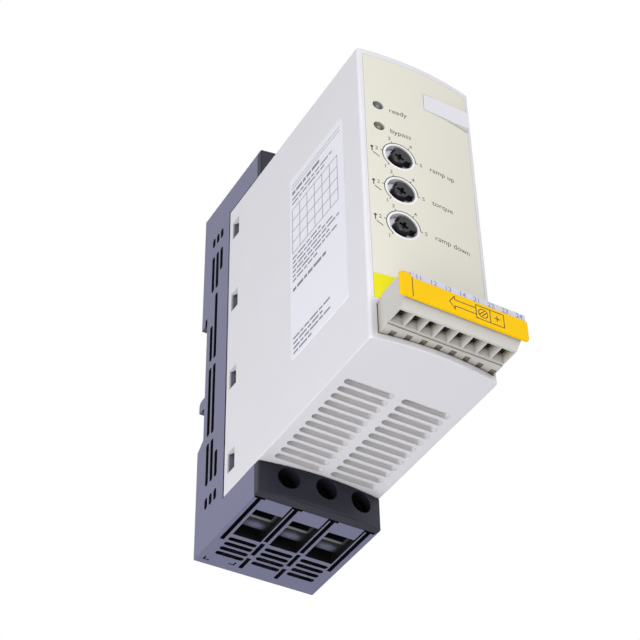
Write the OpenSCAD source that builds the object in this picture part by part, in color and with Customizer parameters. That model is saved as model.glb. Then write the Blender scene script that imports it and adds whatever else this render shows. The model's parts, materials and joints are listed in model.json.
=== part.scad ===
// Motor soft starter, one module wide, that clips to a 35 mm mounting rail.
// X runs across the width, Y from the front (negative) to the back (zero), Z up.
// The origin is the middle of the rail channel, in the plane of the back.
// Inside the modules Z is counted from the bottom of the base, and the last lines bring it to the rail.

/* [Overall] */
// Width of the whole device
body_w = 45; // [44:0.5:60]
// Height of the base, terminal blocks included
base_h = 154; // [150:1:180]
// Depth of the terminal blocks, measured from the back
base_d = 44.5; // [44:0.5:52]
// Gap left between neighbouring fixed mouldings
seam = 0.2; // [0.1:0.05:0.3]
// Gap left round everything that slides or turns
run_gap = 0.3; // [0.2:0.05:0.35]

/* [Base] */
// Thickness of the walls of the base
base_wall = 1.6; // [1.2:0.1:2]
// Height of each terminal block
terminal_h = 12.2; // [12:0.1:14]
// Depth from the back to the rear edge of the housing
housing_rear = 20.5; // [20:0.5:23]
// Shadow gap between the base and the housing
shadow_gap = 0.4; // [0.2:0.1:0.6]
// Thickness of the back wall under the rail seat
back_wall = 1.9; // [1.5:0.1:2.2]
// Width of the ventilation slots in the sides of the base
side_slot_w = 2; // [1.4:0.1:2.2]
// Width of the ventilation slots in the ends of the base
end_slot_w = 1.9; // [1:0.1:2]
// Spacing of the ventilation slots in the ends of the base
end_slot_pitch = 3; // [2.6:0.1:3]

/* [Rail channel] */
// Width of the mounting rail
rail_w = 35; // [35:0.1:35.4]
// Thickness of the mounting rail
rail_t = 1; // [1:0.1:1.3]
// Height of the middle of the rail above the bottom
rail_height = 83.5; // [80:0.5:88]
// Depth of the rail seat below the back
rail_seat = 4.3; // [4.2:0.1:4.6]
// Height of the sloped foot of the channel
channel_foot = 43; // [40:0.5:46]
// Width of the sliding latch
latch_w = 16; // [12:0.5:20]
// How far the latch draws down
latch_travel = 3.5; // [3:0.1:4.5]
// Wire diameter of the latch spring
spring_wire = 0.5; // [0.4:0.05:0.6]
// Number of turns of the latch spring
spring_turns = 6; // [4:1:8]

/* [Power terminals] */
// Width that the walls outside the three phases take up
phase_margin = 5.1; // [4.8:0.1:5.4]
// Width of the ribs and barriers between two chambers
chamber_rib = 3.1; // [2.8:0.1:3.4]
// Width of the barrier slots between the phases
barrier_w = 1.5; // [1.2:0.1:1.6]
// Depth of the barrier slots
barrier_depth = 6; // [4:0.5:8]
// Thickness of the screw cover of a terminal block
cover_t = 2.5; // [2.2:0.1:2.6]
// Diameter of the screwdriver holes
driver_hole_d = 7.8; // [7:0.1:8.2]
// Distance of the terminal screws from the middle of their chambers
screw_shift = 1.2; // [0.8:0.1:1.4]
// Height of the terminal screws above the end of the base
screw_z = 7.6; // [7.4:0.05:7.8]
// Diameter of the terminal screws
screw_d = 4; // [3.5:0.1:4.2]
// Diameter of the heads of the terminal screws
screw_head_d = 6.4; // [6:0.1:6.6]
// How far a clamp moves as its screw is tightened
clamp_travel = 3; // [2.5:0.1:3]
// Clear space for the wire behind the terminal bar
wire_gap = 4.4; // [4.3:0.05:4.6]
// Thickness of the clamps and the terminal bars
clamp_t = 1.2; // [1:0.1:1.2]

/* [Housing] */
// Depth from the back to the upright edges of the front
housing_front = 112.4; // [108:0.2:118]
// How far the middle of the front stands out before its upright edges
front_bulge = 2; // [1:0.1:2.4]
// Thickness of the walls of the housing
housing_wall = 2; // [1.6:0.1:2.2]
// Radius of the upright edges
housing_edge_r = 1.2; // [0.5:0.1:2]
// Length of the ventilation slots
vent_l = 17.3; // [14:0.1:17.6]
// Width of the ventilation slots
vent_w = 2.5; // [2:0.1:2.8]
// Spacing of the ventilation slots
vent_pitch = 3.86; // [3.4:0.02:4]
// Number of ventilation slots in each column
vent_count = 12; // [8:1:12]
// Height of the snap windows in the sides
window_h = 8.4; // [7:0.1:9]
// Depth of the snap windows, from front to back
window_l = 4.8; // [4.4:0.1:5.4]
// Spacing of the snap windows
window_pitch = 35.2; // [33:0.1:36]

/* [Front panel] */
// Width of the border beside the front label
label_border = 1.8; // [1.7:0.05:2.1]
// Thickness of the labels
label_t = 0.3; // [0.2:0.05:0.4]
// Diameter of the dial openings
dial_hole_d = 10; // [9.8:0.1:10.6]
// Radius of the wide part of a dial
dial_r = 4.7; // [4.2:0.1:4.7]
// Radius of the foot of the hub of a dial
dial_hub_r = 3; // [2.6:0.1:3.4]
// How far the face of a dial stands out of the front
dial_out = 0.1; // [0:0.1:1]
// Distance of the dials from the left edge of the front label
dial_inset = 11.4; // [11:0.1:12.5]
// Distance of the lowest dial below the top of the housing
dial_drop = 79.6; // [77:0.1:81]
// Spacing of the dials
dial_pitch = 15.4; // [14.5:0.1:16]
// Diameter of the indicator lamps
lamp_d = 3.5; // [3:0.1:4]
// Distance of the indicator lamps from the left edge of the front label
lamp_inset = 4.8; // [4.5:0.1:6]
// Distance of the lower lamp below the top of the housing
lamp_drop = 36.7; // [35:0.1:38]
// Spacing of the lamps
lamp_pitch = 10; // [8:0.1:12]

/* [Control plug] */
// Number of ways of the control plug
ways = 8; // [4:1:8]
// Width that the plug leaves free beside it when it has all its ways
plug_margin = 4.36; // [4.3:0.02:5]
// Distance of the plug from the middle
plug_x = 0.6; // [0:0.1:0.7]
// Underside of the plug above the bottom of the base
plug_low = 14.9; // [14.8:0.1:15.2]
// Height of the plug where it enters the housing
plug_h = 11.1; // [10.8:0.1:11.4]
// How far the plug stands out of the housing
plug_out = 15.2; // [14.6:0.1:17]
// Thickness of the yellow marker strip
strip_t = 1.2; // [1:0.1:2]

/* [Inside] */
// Thickness of the circuit boards
board_t = 1.6; // [1.2:0.1:1.8]
// Thickness of the heatsink plate
sink_t = 4; // [3:0.1:4.2]
// Number of heatsink fins
fin_count = 8; // [5:1:9]
// Thickness of the heatsink fins
fin_t = 1.5; // [1.2:0.1:2]

/* [Hidden] */
$fn = 48;
eps = 0.5;
half_w = body_w / 2;
mid_z = base_h / 2;
phase_pitch = (body_w - phase_margin) / 3;
chamber_w = phase_pitch - chamber_rib;
most_ways = 8;
way_pitch = (body_w - plug_margin) / most_ways;
phases = [0:2];

base_front = housing_rear - shadow_gap;
duct_back = rail_seat + back_wall;
duct_front = base_front - 0.7;
duct_half = half_w - base_wall;

rail_low = rail_height - rail_w / 2;
rail_high = rail_height + rail_w / 2;
hook_lip = rail_seat - rail_t - 0.4;
hook_reach = 2.4;
latch_half = latch_w / 2;
latch_wing = 1.5;
latch_low = 22;
spring_low = 12;
spring_r = 1.5;
nose_low = rail_low - 5.8;
nose_high = rail_low - 1;
nose_r = 1.9;

terminal_front = base_d - cover_t;
floor_t = 1.8;
ceiling_t = 1;
chamber_half = chamber_w / 2;
chamber_top = terminal_h - ceiling_t;
rib_t = 0.55;
barrier_shift = chamber_half + rib_t;
clamp_w = chamber_w - 2 * run_gap;
clamp_back = 28.5;
bar_back = clamp_back + clamp_t + wire_gap;
bar_front = bar_back + clamp_t;
clamp_front = bar_front + run_gap + clamp_t;
chamber_back = clamp_back - run_gap;
clamp_low = floor_t + run_gap;
clamp_high = chamber_top - run_gap;
head_back = clamp_front + clamp_travel + run_gap;
head_front = terminal_front - seam;
bar_w = 6;
roll_r = 3.8;
roll_y = chamber_back - roll_r - 0.2;
roll_z = 6;
pocket_back = roll_y - roll_r - 0.7;
wire_front = bar_front + 0.1;

housing_low = terminal_h + seam;
housing_high = base_h - housing_low;
inner_half = half_w - housing_wall;
inner_low = housing_low + housing_wall;
inner_high = base_h - inner_low;
inner_front = housing_front - housing_wall;
front_top = housing_front + front_bulge;
front_half = half_w - housing_edge_r;
front_r = (pow(front_half, 2) + pow(front_bulge, 2)) / (2 * front_bulge);
front_axis = front_top - front_r;
window_front = housing_rear + 2.6 + window_l;
window_rows = [-1.5:1:1.5];
vent_first = base_d + 4.4;
vent_shift = vent_l / 2 + 1.5;

label_low = 28.6;
label_high = housing_high - 2.4;
label_half = half_w - label_border;
label_w = 2 * label_half;
dial_x = dial_inset - label_half;
dial_z = housing_high - dial_drop;
lamp_x = lamp_inset - label_half;
lamp_z = housing_high - lamp_drop;
pad_low = [label_half - 18.7, label_high - 17.8];
pad_high = [label_half - 0.5, label_high - 10];
pad_face = front_at(pad_low[0]);
pad_gap = 0.25;
dial_body_half = 5.3;
dial_floor = front_at(abs(dial_x) + dial_body_half) - housing_wall - seam;
side_label = 0.15;

board_gap = 5.8;
control_y = inner_front - board_gap;
sink_front = duct_front + sink_t;
thyristor_t = 6.5;
sink_half = mid_z - 21;
fin_half = sink_half - 12;
power_y = sink_front + thyristor_t + board_t;

plug_w = ways * way_pitch;
plug_high = plug_low + plug_h;
plug_in = 0.9;
plug_front = housing_front + plug_out;
funnel_face = plug_low + 0.4;
funnel_front = plug_front - 3;
funnel_back = funnel_front - 7.4;
funnel_y = (funnel_front + funnel_back) / 2 + 0.1;
funnel_top = funnel_face + 2.2;
funnel_mouth = [3.8, 4.9];
funnel_throat = [2.8, 3.4];
plug_pocket = [3.9, 5.2];
plug_screw_d = 2.8;
plug_screw_z = funnel_top + 4.5;
plug_top = plug_high + 2.2;
strip_low = plug_low + 2.3;
strip_high = plug_high - 1.2;
legend_left = plug_x - plug_w / 2 + 1.8;
legend_h = 2.8;
header_front = inner_front + plug_in - run_gap;
nose_inset = 2.1;
shroud_wall = 1;

function phase_x(i) = (i - 1) * phase_pitch;
function way_x(i) = plug_x + (i - (ways - 1) / 2) * way_pitch;
function dial_height(i) = dial_z + (2 - i) * dial_pitch;

// Depth of the curved front at a place across the width
function front_at(x) = front_axis + sqrt(pow(front_r, 2) - pow(x, 2));

// A box between two opposite corners
module block(low, high) translate(low) cube(high - low);

// Outlines drawn in Y and Z, X and Z or X and Y, and given a length along the third axis
module along_x(x0, x1) translate([x0, 0, 0]) rotate([90, 0, 90]) linear_extrude(x1 - x0) children();
module along_y(y0, y1) translate([0, y1, 0]) rotate([90, 0, 0]) linear_extrude(y1 - y0) children();
module along_z(z0, z1) translate([0, 0, z0]) linear_extrude(z1 - z0) children();

// The same thing at the bottom end and, turned over, at the top end
module top_end() translate([0, 0, base_h]) mirror([0, 0, 1]) children();
module both_ends() {
    children();
    top_end() children();
}

// A straight slot with round ends, lying along X
module slot_shape(length, width) {
    square([length - width, width], center = true);
    for (side = [-1, 1])
        translate([side * (length - width) / 2, 0]) circle(d = width);
}

// A rectangle with four round corners, between two opposite corners
module round_rect(low, high, r) {
    translate(low + [r, 0]) square(high - low - [2 * r, 0]);
    translate(low + [0, r]) square(high - low - [0, 2 * r]);
    for (x = [low[0] + r, high[0] - r], y = [low[1] + r, high[1] - r])
        translate([x, y]) circle(r);
}

// Base: the dark moulding that holds the rail, the heatsink and the terminals

module rail_channel_shape() {
    polygon([
        [eps, channel_foot - eps * 0.7], [0, channel_foot], [-rail_seat, channel_foot + 3.2],
        [-rail_seat, rail_high + 0.5], [-hook_lip, rail_high + 0.5], [-hook_lip, rail_high - hook_reach],
        [eps, rail_high - hook_reach]
    ]);
}

module rail_nose_shape() {
    middle = nose_high - nose_r;
    translate([-rail_seat - eps, nose_low]) square([rail_seat + eps - 0.4, middle - nose_low]);
    translate([-rail_seat - eps, middle - eps]) square([rail_seat + eps - 0.4 - nose_r, nose_r + eps]);
    translate([-0.4 - nose_r, middle]) circle(nose_r);
}

module base_side_shape() {
    difference() {
        union() {
            translate([-base_front, 0]) square([base_front, base_h]);
            for (z = [0, base_h - terminal_h])
                translate([-terminal_front + seam, z]) square([terminal_front - seam, terminal_h]);
        }
        rail_channel_shape();
    }
    rail_nose_shape();
}

// Slots in the side walls, mirrored about the middle height, in three columns
module side_slots_shape() {
    columns = [duct_back + 1.7, duct_back + 4.9, duct_back + 8.1];
    module upright(y, low, high)
        translate([-y, (low + high) / 2]) rotate(90) slot_shape(high - low, side_slot_w);
    for (flip = [0, 1])
        translate([0, flip * base_h]) mirror([0, flip]) {
            for (y = columns) upright(y, 15.4, 19.8);
            for (y = [columns[0], columns[1]]) upright(y, 24.8, 42.3);
            upright(columns[2], 24.8, 35.7);
            upright(columns[1], 45, mid_z - 1.4);
        }
    upright(columns[0], 45.6, mid_z - 1.4);
    upright(columns[0], mid_z + 1.8, rail_high - 5.8);
}

// What is cut from the end wall behind one chamber, from the pocket to the back
module end_vents_shape(x) {
    for (row = [0:3])
        translate([x, -duct_back - 1.8 - row * end_slot_pitch]) slot_shape(chamber_w, end_slot_w);
}

// One terminal chamber with its wire opening and the rolled guide behind it
module chamber_cut(x) {
    block([x - chamber_half, -base_d, floor_t], [x + chamber_half, -chamber_back, chamber_top]);
    block([x - chamber_half, -wire_front, -eps], [x + chamber_half, -pocket_back, floor_t + eps]);
    difference() {
        block([x - chamber_half, -chamber_back - eps, 0], [x + chamber_half, -pocket_back, roll_z]);
        translate([x, -roll_y, roll_z]) rotate([0, 90, 0]) cylinder(r = roll_r, h = body_w, center = true);
    }
    block([x + chamber_half - 0.7, -base_d, -eps], [x + chamber_half, -wire_front + eps, floor_t + eps]);
    block([x - bar_w / 2 - run_gap, -bar_front - seam, chamber_top - eps],
        [x + bar_w / 2 + run_gap, -bar_back + seam, terminal_h + eps]);
}

// The narrow slots that take the barriers between the phases
module barrier_cut(i) {
    x = phase_x(i) + barrier_shift;
    outer = i < 0 || i > 1;
    rear = outer ? 15.5 : pocket_back + 0.9;
    block([x, -base_d, -eps], [x + barrier_w, -rear, barrier_depth]);
    block([x - 1.2, -terminal_front, -eps], [x + barrier_w + 1.2, -terminal_front + 1, floor_t - 0.4]);
    if (!outer) {
        block([x, -duct_front, -eps], [x + barrier_w, -11.8, base_wall + eps]);
        block([x, -9.8, -eps], [x + barrier_w, -3.2, base_wall - 0.4]);
    }
}

// Two engraved corner marks near the back edge of the bottom
module corner_marks() {
    for (side = [-1, 1])
        translate([-14.8 + side * 5.2, -2.4 - 0.6 * (side + 1), -eps]) {
            block([-0.3, -1.9, 0], [0.3, 0, 0.6 + eps]);
            block([side > 0 ? -2 : 0, -0.5, 0], [side > 0 ? 0 : 2, 0, 0.6 + eps]);
        }
}

// One snap tab that reaches into the housing, with its ramp in the window
module snap_tab() {
    outer = inner_half - seam;
    inner = outer - 1.4;
    tip = window_front - 1.1;
    catch = housing_rear + 2.9;
    tall = window_h / 2 - 0.6;
    block([-duct_half - eps, -base_front, -tall], [-inner, -base_front + 4, tall]);
    block([-outer, -tip, -tall], [-inner, -base_front + eps, tall]);
    along_z(-tall, tall)
        polygon([[-outer + eps, -catch - window_l / 2], [-outer, -catch - window_l / 2], [-half_w + 0.5, -catch],
            [-outer + eps, -catch]]);
}

// Post that carries a corner of the heatsink
module sink_post() along_y(-duct_front, -duct_back + eps) circle(3);

// The T-shaped way of the latch and its spring
module latch_way() {
    block([-latch_half - run_gap, -rail_seat, spring_low], [latch_half + run_gap, eps, channel_foot + 4]);
    block([-latch_half - latch_wing - run_gap, -3.9, latch_low - latch_travel - run_gap],
        [latch_half + latch_wing + run_gap, -1.9, channel_foot + 4]);
    block([-latch_half - run_gap, -rail_seat, nose_low - eps], [latch_half + run_gap, eps, nose_high + eps]);
}

module sink_corners() {
    for (x = [-1, 1] * (duct_half - 6.5), z = [-1, 1])
        translate([x, 0, mid_z + z * (sink_half - 5)]) children();
}

module base() color([0.32, 0.32, 0.38]) {
    difference() {
        union() {
            difference() {
                along_x(-half_w, half_w) base_side_shape();
                block([-duct_half, -duct_front, base_wall], [duct_half, -duct_back, base_h - base_wall]);
                block([-duct_half, -base_front - eps, terminal_h], [duct_half, -duct_front + eps,
                    base_h - terminal_h]);
                along_x(-half_w - eps, half_w + eps) side_slots_shape();
                both_ends() {
                    for (i = phases) chamber_cut(phase_x(i));
                    for (i = [-1:2]) barrier_cut(i);
                    along_z(-eps, base_wall + eps) for (i = phases) end_vents_shape(phase_x(i));
                }
                corner_marks();
                latch_way();
            }
            for (row = window_rows, flip = [0, 1])
                mirror([flip, 0, 0]) translate([0, 0, mid_z + row * window_pitch]) snap_tab();
            sink_corners() sink_post();
        }
        sink_corners() along_y(-duct_front - eps, -duct_front + 9) circle(1.55);
        both_ends() cover_tongues(seam);
    }
}

// Two tongues that hold a terminal cover in the side walls of the block
module cover_tongues(grow) {
    for (side = [-1, 1])
        translate([side * (half_w - 1.8), 0, 8.6])
            block([-0.6 - grow, -terminal_front - eps, -1.6 - grow], [0.6 + grow, -terminal_front + 4 + grow,
                1.6 + grow]);
}

module terminal_cover() color([0.3, 0.3, 0.36]) {
    difference() {
        along_z(0, terminal_h) {
            difference() {
                round_rect([-half_w, -base_d], [half_w, -terminal_front + 2], 0.8);
                translate([-body_w, -terminal_front]) square([2 * body_w, 4]);
            }
            translate([0, housing_front - base_d]) front_swell(front_half, housing_front, 0);
        }
        for (i = phases)
            translate([phase_x(i) + screw_shift, 0, screw_z])
                along_y(-base_d - front_bulge - eps, -terminal_front + eps) circle(d = driver_hole_d);
    }
    cover_tongues(0);
}

// Power terminals: screw, box clamp and bar of one phase at the bottom end

module terminal_screw(i) color([0.75, 0.75, 0.78])
    translate([phase_x(i) + screw_shift, 0, screw_z])
        difference() {
            union() {
                along_y(-head_front, -head_back) circle(d = screw_head_d);
                along_y(-head_back - eps, -bar_front - run_gap) circle(d = screw_d);
            }
            for (turn = [0, 90])
                rotate([0, turn, 0])
                    block([-screw_head_d * 0.36, -head_front - eps, -0.5],
                        [screw_head_d * 0.36, -head_front + 1, 0.5]);
        }

module terminal_clamp(i) color([0.62, 0.62, 0.64])
    translate([phase_x(i), 0, 0])
        difference() {
            along_z(clamp_low, clamp_high)
                difference() {
                    round_rect([-clamp_w / 2, -clamp_front], [clamp_w / 2, -clamp_back], 0.6);
                    translate([-clamp_w / 2 + clamp_t, -bar_front - run_gap])
                        square([clamp_w - 2 * clamp_t, bar_front + run_gap - clamp_back - clamp_t]);
                }
            translate([screw_shift, 0, screw_z])
                along_y(-clamp_front - eps, -bar_front) circle(d = screw_d + 0.16);
        }

module terminal_bar(i) color([0.72, 0.45, 0.3])
    translate([phase_x(i), 0, 0]) {
        foot = inner_low + 9.5;
        block([-bar_w / 2, -bar_front, clamp_low + 0.3], [bar_w / 2, -bar_back, foot]);
        if (bar_back > power_y)
            block([-bar_w / 2, -bar_back - eps, foot - clamp_t], [bar_w / 2, -power_y, foot]);
    }

// Housing: the pale shell over the electronics

module vent_rows() {
    for (column = [-1, 1], row = [0:vent_count - 1])
        translate([column * vent_shift, -vent_first - row * vent_pitch]) slot_shape(vent_l, vent_w);
}

module board_posts() {
    for (x = [-1, 1] * (inner_half - 4.5), z = [inner_low + 30.6, inner_high - 6.6])
        translate([x, 0, z]) children();
}

module plug_opening_shape(grow)
    translate([plug_x - plug_w / 2 - grow, plug_low - grow]) square([plug_w + 2 * grow, plug_h + 2 * grow]);

module pad_shape() translate(pad_low) square(pad_high - pad_low);

// The curve of the front seen from above, set back by a depth
module front_plan(depth) translate([0, -front_axis]) circle(r = front_r - depth, $fn = 360);

// What lies between the curve and the straight line from one place across the width to the other
module front_swell(half, flat, depth)
    intersection() {
        front_plan(depth);
        translate([-half, -front_top - 1]) square([2 * half, front_top + 1 - flat + eps]);
    }

// An outline drawn in X and Z, as a sheet that follows the curve from one depth to another
module on_front(near, far)
    intersection() {
        along_y(-front_top - 1, -inner_front + 1) children();
        along_z(0, base_h)
            difference() {
                front_plan(near);
                front_plan(far);
            }
    }

module housing() color([0.87, 0.87, 0.88]) {
    difference() {
        along_z(housing_low, housing_high) {
            difference() {
                round_rect([-half_w, -housing_front], [half_w, -housing_rear + 4], housing_edge_r);
                translate([-body_w, -housing_rear]) square([2 * body_w, 8]);
            }
            front_swell(front_half, housing_front, 0);
        }
        along_z(inner_low, inner_high) {
            translate([-inner_half, -inner_front]) square([2 * inner_half, inner_front + eps]);
            front_swell(inner_half, inner_front, housing_wall);
        }
        both_ends() {
            along_z(housing_low - eps, inner_low + eps) vent_rows();
            block([-duct_half + 2, -terminal_front - 0.5, housing_low - eps],
                [duct_half - 2, 0, inner_low + eps]);
        }
        for (row = window_rows)
            translate([0, 0, mid_z + row * window_pitch])
                block([-body_w, -window_front, -window_h / 2],
                    [body_w, -window_front + window_l, window_h / 2]);
        along_y(-front_top - eps, -inner_front + eps) {
            for (i = [0:2]) translate([dial_x, dial_height(i)]) circle(d = dial_hole_d);
            for (i = [0, 1]) translate([lamp_x, lamp_z + i * lamp_pitch]) circle(d = lamp_d + 2 * seam);
            plug_opening_shape(run_gap);
        }
        on_front(-1, label_t) translate([-label_half, label_low]) square([label_w, label_high - label_low]);
    }
    on_front(0, housing_wall / 2) pad_shape();
    along_y(-pad_face, -housing_front - 0.1) pad_shape();
    board_posts() along_y(-front_at(inner_half) + 0.2, -control_y) circle(2.2);
}

module front_label() color([0.87, 0.86, 0.8])
    on_front(0, label_t)
        difference() {
            translate([-label_half + 0.1, label_low + 0.1])
                square([label_w - 0.2, label_high - label_low - 0.2]);
            for (i = [0:2]) translate([dial_x, dial_height(i)]) circle(d = dial_hole_d);
            for (i = [0, 1]) translate([lamp_x, lamp_z + i * lamp_pitch]) circle(d = lamp_d + 2 * seam);
            translate(pad_low - [pad_gap, pad_gap])
                square([pad_high[0] - pad_low[0] + 1, pad_high[1] - pad_low[1] + 2 * pad_gap]);
        }

module rating_label() color([0.93, 0.93, 0.96])
    along_x(-half_w - side_label, -half_w)
        round_rect([-housing_front + 11.2, mid_z - 40.4], [-housing_front + 46.6, mid_z + 40.6], 1.2);

module yellow_label() color([0.95, 0.9, 0.15])
    on_front(-side_label, 0)
        translate([-label_half + 0.1, label_low + 0.1]) square([11.4, 9.7]);

module vent_baffle() color([0.85, 0.84, 0.8]) {
    back = vent_first - vent_w;
    front = vent_first + (vent_count - 1) * vent_pitch + vent_w;
    leg = 0.7;
    block([-inner_half + seam, -front, inner_low + leg], [inner_half - seam, -back, inner_low + leg + 1]);
    for (x = [-inner_half + seam + 0.3, 0, inner_half - seam - 0.3])
        block([x - 0.3, -front, inner_low], [x + 0.3, -back, inner_low + leg + eps]);
}

// Front panel: lamps, dials and the bodies behind them

module lamp(i, tint) color(tint)
    translate([lamp_x, 0, lamp_z + i * lamp_pitch]) {
        front = -front_at(lamp_x);
        along_y(front + 0.6, -control_y) circle(d = lamp_d);
        intersection() {
            translate([0, front + 2.2, 0]) sphere(r = 2.4);
            along_y(front - 1, front + 0.7) circle(d = lamp_d);
        }
    }

module dial_body(i) color([0.9, 0.9, 0.88])
    translate([dial_x, 0, dial_height(i)])
        difference() {
            block([-dial_body_half, -dial_floor, -6.2], [dial_body_half, -control_y, 6.2]);
            along_y(-front_top, -dial_floor + 4) circle(1.65);
        }

// The wide part of a dial seen from the front, narrowing from its pointing edge to its other end
module dial_wing_shape()
    polygon([[-0.5, -0.7], for (k = [0:8]) let(a = -8 + 16 * k, r = dial_r * (1 - 0.2 * k / 8)) r * [cos(a), sin(a)]]);

module dial(i) color([0.2, 0.2, 0.22])
    translate([dial_x, 0, dial_height(i)]) {
        face = -front_at(dial_x) - dial_out;
        foot = -dial_floor - run_gap;
        difference() {
            union() {
                translate([0, foot, 0]) rotate([90, 0, 0]) cylinder(r1 = dial_hub_r, r2 = dial_hub_r * 0.8, h = foot - face);
                along_y(face, foot) dial_wing_shape();
                along_y(foot - eps, -dial_floor + 3.4) circle(1.6);
            }
            for (turn = [0, 90])
                rotate([0, turn + 20, 0])
                    block([-1.7, face - eps, -0.5], [1.7, face + 1.2, 0.5]);
        }
    }

// Control plug: eight ways, wires from below, screws behind the marker strip

module plug_side_shape()
    polygon([
        [-inner_front - plug_in, plug_low], [-funnel_back, plug_low], [-funnel_back, funnel_face],
        [-funnel_front, funnel_face], [-plug_front, funnel_face + 2.7], [-plug_front, plug_top - 0.8],
        [-plug_front + 0.8, plug_top], [-front_top - 0.6, plug_top], [-front_top - 0.6, plug_high],
        [-inner_front - plug_in, plug_high]
    ]);

// A square mouth that narrows to the wire hole
module funnel() {
    module side(mouth, throat, below)
        polygon([[-mouth / 2 - below, funnel_face - 1], [mouth / 2 + below, funnel_face - 1],
            [throat / 2, funnel_top], [-throat / 2, funnel_top]]);
    flare = [for (k = [0, 1]) (funnel_mouth[k] - funnel_throat[k]) / 2 / (funnel_top - funnel_face)];
    intersection() {
        along_y(-10, 10) side(funnel_mouth[0], funnel_throat[0], flare[0]);
        along_x(-10, 10) side(funnel_mouth[1], funnel_throat[1], flare[1]);
    }
    block([-funnel_throat[0] / 2, -funnel_throat[1] / 2, funnel_top - 0.2],
        [funnel_throat[0] / 2, funnel_throat[1] / 2, funnel_top + 1]);
}

module control_plug() color([0.84, 0.84, 0.82])
    difference() {
        union() {
            along_x(plug_x - plug_w / 2, plug_x + plug_w / 2) plug_side_shape();
            block([plug_x - plug_w / 2 + nose_inset, -inner_front - plug_in - eps, plug_low + nose_inset],
                [plug_x + plug_w / 2 - nose_inset, -control_y - shroud_wall - run_gap, plug_high - nose_inset]);
        }
        for (i = [0:ways - 1])
            translate([way_x(i), 0, 0]) {
                translate([0, -funnel_y, 0]) {
                    funnel();
                    block([-plug_pocket[0] / 2, -plug_pocket[1] / 2, funnel_top + 0.6],
                        [plug_pocket[0] / 2, plug_pocket[1] / 2, plug_top - 1.4]);
                }
                translate([0, 0, plug_screw_z])
                    along_y(-plug_front - eps, -funnel_y + plug_pocket[1] / 2 - 0.2)
                        circle(d = plug_screw_d + 0.2);
                translate([0, 0, (plug_low + plug_high) / 2])
                    block([-0.75, -header_front - 1, -0.75], [0.75, -control_y, 0.75]);
                notch = way_pitch / 2 - 1.4;
                front = -front_at(way_x(i) + notch);
                block([notch - 1, front - 2, plug_low - eps], [notch + 1, front + 0.4, plug_low + 0.9]);
            }
    }

module plug_screws() color([0.78, 0.78, 0.8])
    for (i = [0:ways - 1])
        translate([way_x(i), 0, plug_screw_z])
            difference() {
                along_y(-plug_front + 0.6, -funnel_y - 0.1) circle(d = plug_screw_d);
                block([-1, -plug_front, -0.3], [1, -plug_front + 1.3, 0.3]);
            }

module plug_clamps() color([0.7, 0.68, 0.6])
    for (i = [0:ways - 1])
        translate([way_x(i), -funnel_y, 0])
            difference() {
                half = [plug_pocket[0] / 2 - 0.3, plug_pocket[1] / 2 - 0.3];
                block([-half[0], -half[1], funnel_top + 1], [half[0], half[1], plug_top - 1.8]);
                block([-half[0] + 0.6, -half[1] + 0.6, funnel_top], [half[0] - 0.6, half[1] - 0.6, plug_top]);
                translate([0, 0, plug_screw_z]) along_y(-8, 0) circle(d = plug_screw_d + 0.16);
            }

module marker_strip() color([0.98, 0.8, 0.1])
    along_y(-plug_front - strip_t, -plug_front) {
        left = plug_x - plug_w / 2 - 2.3;
        round_rect([left, strip_low], [plug_x + plug_w / 2 + 2, strip_high], 0.9);
        round_rect([left, strip_low], [legend_left, strip_high + 1.2], 0.9);
    }

module legend_insert() color([0.86, 0.86, 0.92])
    along_y(-plug_front - strip_t / 2, -plug_front)
        translate([legend_left, strip_high]) square([plug_x + plug_w / 2 + 1.8 - legend_left, legend_h]);

// Inside: heatsink, power parts, boards and the plug's header

module heatsink() color([0.6, 0.61, 0.63])
    difference() {
        union() {
            block([-duct_half + 2.7, -sink_front, mid_z - sink_half], [duct_half - 2.7, -duct_front, mid_z + sink_half]);
            for (i = [0:fin_count - 1]) {
                x = (i / (fin_count - 1) - 0.5) * (2 * duct_half - 8);
                block([x - fin_t / 2, -duct_front - eps, mid_z - fin_half], [x + fin_t / 2, -duct_back - 0.6, mid_z + fin_half]);
            }
        }
        sink_corners() along_y(-sink_front - eps, -duct_front + eps) circle(1.7);
    }

module heatsink_screws() color([0.75, 0.75, 0.77])
    sink_corners() {
        along_y(-sink_front - 2, -sink_front) circle(2.8);
        along_y(-sink_front - eps, -duct_front + 8) circle(1.5);
    }

module thyristor(i) color([0.12, 0.12, 0.13])
    translate([0, 0, mid_z + (i == 0 ? 1 : -1) * sink_half * 0.48])
        difference() {
            block([-11, -sink_front - thyristor_t, -17], [11, -sink_front, 17]);
            block([-12, -sink_front - thyristor_t - eps, -1.2], [12, -sink_front - 2.4, 1.2]);
        }

module power_board() color([0.1, 0.35, 0.2])
    block([-duct_half + 2.3, -power_y, inner_low + 4], [duct_half - 2.3, -power_y + board_t, inner_high - 4]);

module bypass_relay(i) color([0.1, 0.2, 0.42])
    translate([0, 0, mid_z + (i == 0 ? 1 : -1) * sink_half * 0.45])
        block([-9, -power_y - 16, -15], [7, -power_y, 15]);

module link_board() color([0.1, 0.35, 0.2])
    block([inner_half - 6, -control_y + board_t, mid_z - 25], [inner_half - 6 + board_t, -power_y, mid_z + 25]);

module control_board() color([0.1, 0.35, 0.2])
    block([-inner_half + 1, -control_y, inner_low + 1], [inner_half - 1, -control_y + board_t, inner_high - 1]);

module supply_transformer() color([0.25, 0.22, 0.15]) {
    back = -control_y + board_t;
    low = mid_z + 19;
    block([-10, back, low], [10, back + 18, low + 20]);
    block([-12, back + 4, low + 3], [12, back + 14, low + 17]);
}

module filter_capacitors() color([0.15, 0.15, 0.3])
    for (z = [-19, -5])
        translate([-4, 0, mid_z + z]) along_y(-control_y + board_t, -control_y + board_t + 21) circle(5.5);

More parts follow.
